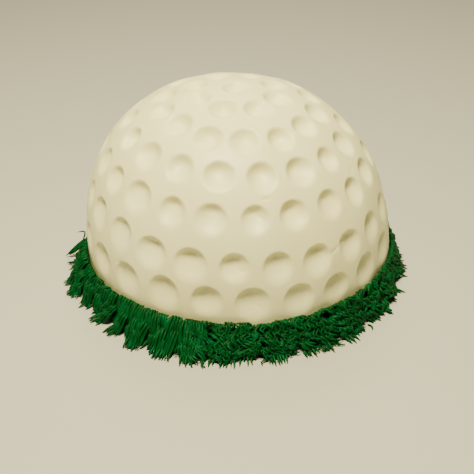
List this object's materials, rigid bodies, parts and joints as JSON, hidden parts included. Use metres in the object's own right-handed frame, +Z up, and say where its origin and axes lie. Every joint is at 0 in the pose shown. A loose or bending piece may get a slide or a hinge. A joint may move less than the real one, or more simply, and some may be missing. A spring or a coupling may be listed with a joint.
{
  "type": "ball cake",
  "caption": "Half-ball cake under ivory fondant pressed all over with round dimples, edged at its foot with a ring of piped green icing grass.",
  "frame": {"origin": "on the table, at the middle of the grass ring", "axes": "+Z up, the front is towards -Y and the cake leans slightly to -X"},
  "size_m": [0.1999, 0.1976, 0.1029],
  "materials": {
    "fondant": "smooth satin rolled fondant, ivory white",
    "green_icing": "satin piped buttercream, emerald green"
  },
  "bodies": {
    "root": {"cake": "fondant", "grass": "green_icing"}
  },
  "joints": []
}
